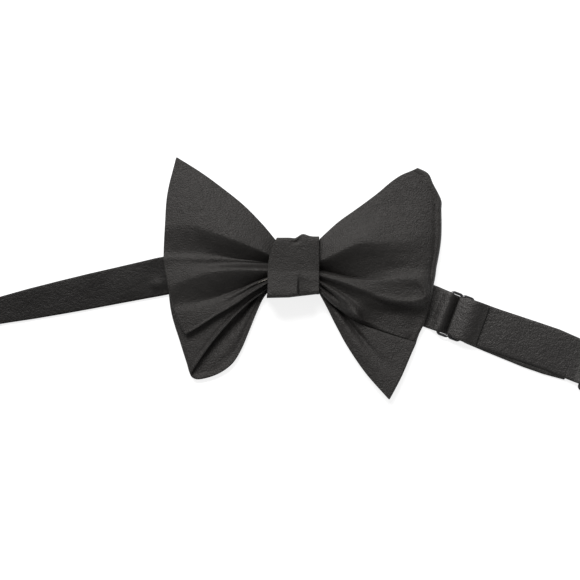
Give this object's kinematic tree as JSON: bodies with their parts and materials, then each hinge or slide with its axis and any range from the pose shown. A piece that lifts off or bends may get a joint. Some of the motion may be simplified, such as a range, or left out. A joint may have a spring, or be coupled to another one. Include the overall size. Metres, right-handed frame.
{
  "type": "bow tie",
  "caption": "Pre-tied butterfly bow of pleated black satin on an adjustable neckband with a wire slider, hook and eye.",
  "frame": {"origin": "on the flat back of the knot, behind the middle of the knot", "axes": "+X along the bow to its right-hand side seen from the front, +Y up the bow, +Z out of the front of the knot"},
  "size_m": [0.37, 0.1197, 0.016],
  "materials": {
    "satin": "black satin with a soft sheen",
    "band_satin": "black satin strap",
    "lining": "gathered satin inside the knot",
    "interlining": "undyed woven interlining",
    "thread": "black polyester thread",
    "enamel": "gloss black enamelled wire"
  },
  "bodies": {
    "bow": {"left_front_blade": "satin", "left_front_interlining": "interlining", "left_rear_loop": "satin", "left_rear_interlining": "interlining", "right_front_loop": "satin", "right_front_interlining": "interlining", "right_rear_blade": "satin", "right_rear_interlining": "interlining", "knot_wrap": "satin", "knot_core": "lining", "knot_tack": "thread", "band_centre": "band_satin"},
    "left_strap": {"left_band": "band_satin", "left_band_interlining": "interlining", "left_end_stitches": "thread"},
    "eye": {"eye_ring": "enamel"},
    "right_strap": {"right_band_root": "band_satin", "right_single_run": "band_satin"},
    "adjuster": {"slider_weave": "band_satin", "slider_tab": "band_satin", "tab_stitches": "thread", "slider": "enamel", "right_under_run": "band_satin", "right_upper_run": "band_satin"},
    "strap_end": {"hook_turn": "band_satin"},
    "hook_piece": {"hook": "enamel"}
  },
  "joints": [
    {"name": "left_band_fold", "type": "hinge", "parent": "bow", "child": "left_strap", "pos_m": [-0.0131, 0, 0.0006], "axis": [0, -1, 0], "range_deg": [0, 90]},
    {"name": "eye_swing", "type": "hinge", "parent": "left_strap", "child": "eye", "pos_m": [-0.19482, -0.03224, 0.00215], "axis": [-0.2045, 0.9789, 0], "range_deg": [-150, 150]},
    {"name": "right_band_fold", "type": "hinge", "parent": "bow", "child": "right_strap", "pos_m": [0.0131, 0, 0.0006], "axis": [0, 1, 0], "range_deg": [0, 90]},
    {"name": "slider_slide", "type": "slide", "parent": "right_strap", "child": "adjuster", "axis": [0.9379, -0.3469, 0], "range_m": [0, 0.09], "deforming": ["right_single_run"]},
    {"name": "hook_end_slide", "type": "slide", "parent": "adjuster", "child": "strap_end", "axis": [0.9379, -0.3469, 0], "range_m": [-0.045, 0], "deforming": ["right_under_run", "right_upper_run"]},
    {"name": "hook_swing", "type": "hinge", "parent": "strap_end", "child": "hook_piece", "pos_m": [0.14781, -0.04971, 0.00215], "axis": [-0.3469, -0.9379, 0], "range_deg": [-150, 150]}
  ],
  "couplings": [
    {"joint": "hook_end_slide", "follows": "slider_slide", "ratio": -0.5}
  ]
}
